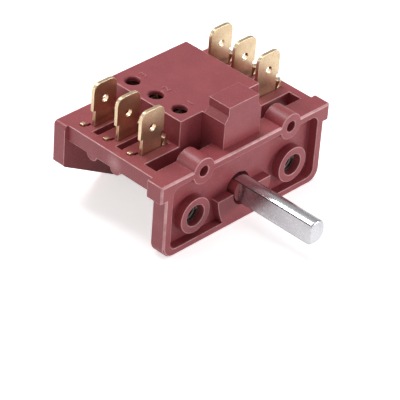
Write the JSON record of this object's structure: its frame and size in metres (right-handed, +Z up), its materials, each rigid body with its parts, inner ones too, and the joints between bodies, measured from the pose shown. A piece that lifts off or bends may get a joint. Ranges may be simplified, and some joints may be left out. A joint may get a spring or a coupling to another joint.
{
  "type": "oven selector switch",
  "caption": "Rotary oven selector switch: moulded housing with a cam drum, leaf contacts, blade terminals and a D-shaped knob shaft.",
  "frame": {"origin": "on the shaft's axis, in the plane of the mounting face", "axes": "+X to the right seen from the knob, +Y from the knob into the switch, +Z up along the blade terminals"},
  "size_m": [0.048, 0.0507, 0.0278],
  "materials": {
    "moulding": "moulded thermoset, satin",
    "drum": "moulded, satin",
    "steel": "plated, bright",
    "spring_steel": "drawn wire",
    "zinc": "zinc plated",
    "terminal_brass": "stamped, bright edges",
    "leaf_bronze": "rolled strip",
    "rivet_brass": "headed",
    "contact_silver": "silver face"
  },
  "bodies": {
    "switch": {"housing": "moulding", "detent_spring": "spring_steel", "nut_left": "zinc", "nut_right": "zinc", "terminal_right_front": "terminal_brass", "terminal_right_link": "terminal_brass", "terminal_left_front": "terminal_brass", "leaf_front": "leaf_bronze", "leaf_rivet_front": "rivet_brass", "moving_contact_front": "contact_silver", "fixed_contact_front": "contact_silver", "terminal_left_middle": "terminal_brass", "leaf_middle": "leaf_bronze", "leaf_rivet_middle": "rivet_brass", "moving_contact_middle": "contact_silver", "fixed_contact_middle": "contact_silver", "terminal_left_rear": "terminal_brass", "leaf_rear": "leaf_bronze", "leaf_rivet_rear": "rivet_brass", "moving_contact_rear": "contact_silver", "fixed_contact_rear": "contact_silver"},
    "selector": {"cam_drum": "drum", "drive_shaft": "steel"},
    "ball": {"detent_ball": "steel"}
  },
  "joints": [
    {"name": "selector_turn", "type": "hinge", "parent": "switch", "child": "selector", "pos_m": [0, 0, 0], "axis": [0, -1, 0], "continuous": true, "deforming": ["leaf_front", "leaf_middle", "leaf_rear"]},
    {"name": "detent_lift", "type": "slide", "parent": "switch", "child": "ball", "axis": [0, 0, 1], "range_m": [0, 0.0008], "stiffness_N_per_m": 1500, "springref_m": -0.004, "deforming": ["detent_spring"]}
  ]
}
